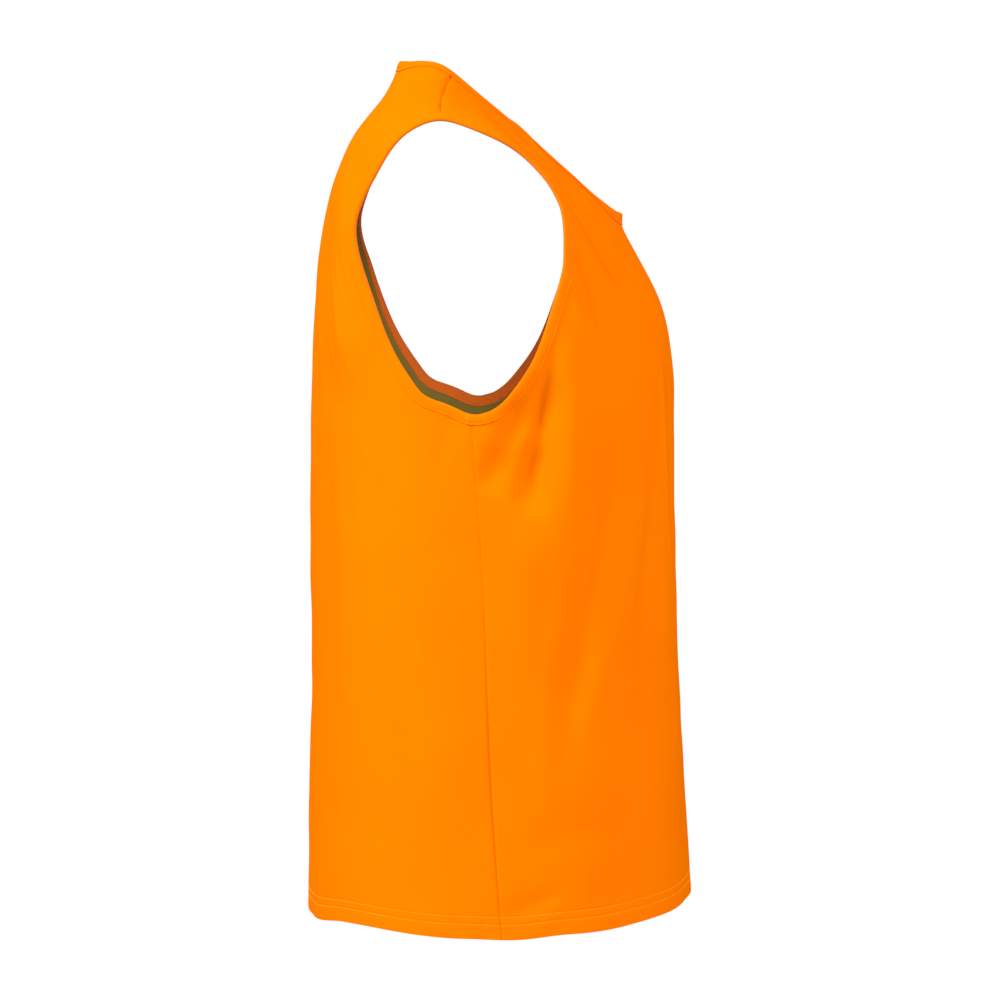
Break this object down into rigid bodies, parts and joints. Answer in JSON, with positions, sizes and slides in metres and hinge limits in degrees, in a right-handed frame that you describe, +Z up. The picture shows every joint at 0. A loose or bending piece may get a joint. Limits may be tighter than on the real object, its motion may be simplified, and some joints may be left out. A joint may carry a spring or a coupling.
{
  "type": "reversible training bib",
  "caption": "Sleeveless reversible training bib in two cloth layers with bound neck and armholes, filled out as if worn.",
  "frame": {"origin": "between the shoulder seams on the centre plane, where the wearer's shoulders hold the bib up (mount wearer_shoulders)", "axes": "+Z up, -Y the way the wearer faces, +X the wearer's left"},
  "size_m": [0.424, 0.333, 0.741],
  "materials": {
    "outer_knit": "smooth orange polyester knit, matt with a soft sheen",
    "inner_knit": "smooth olive polyester knit, matt",
    "binding_knit": "orange knit binding, stitched"
  },
  "bodies": {
    "root": {"outer_front": "outer_knit", "outer_back": "outer_knit", "inner_front": "inner_knit", "inner_back": "inner_knit", "neck_binding": "binding_knit", "armhole_binding_right": "binding_knit", "armhole_binding_left": "binding_knit"}
  },
  "joints": []
}
